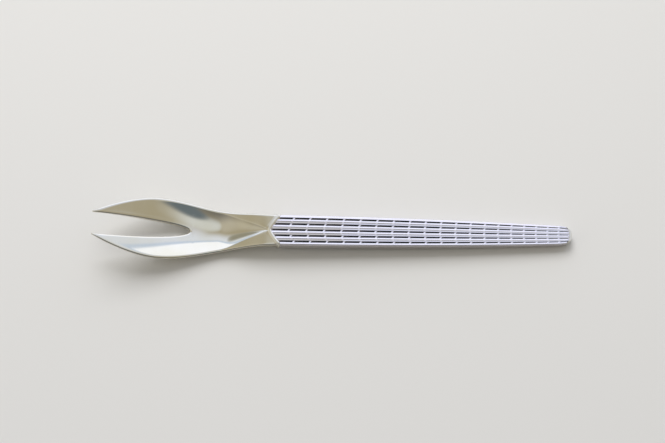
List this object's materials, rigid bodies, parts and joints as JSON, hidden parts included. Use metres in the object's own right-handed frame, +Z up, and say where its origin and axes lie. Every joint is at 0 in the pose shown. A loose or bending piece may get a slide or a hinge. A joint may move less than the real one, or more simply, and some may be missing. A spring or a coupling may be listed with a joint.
{
  "type": "cold meat fork",
  "caption": "Cold meat serving fork with long pointed tines, a dished bowl, an S-bend neck and a slim hollow handle struck with rows of gouges.",
  "frame": {"origin": "on the surface that the fork lies on, under the middle of its length", "axes": "+X from the tines to the butt, +Y across the fork, +Z up, with the hollow of the bowl facing up"},
  "size_m": [0.1498, 0.0196, 0.012],
  "materials": {
    "polished_silver": "polished silver with fine wear scratches",
    "satin_silver": "satin silver with darkened gouges",
    "pitch_cement": "dull dark pitch, hidden in the handle"
  },
  "bodies": {
    "root": {"fork_head": "polished_silver", "mouth_collar": "polished_silver", "handle_front_shell": "satin_silver", "handle_back_shell": "satin_silver", "butt_cap": "polished_silver", "handle_cement": "pitch_cement"}
  },
  "joints": []
}
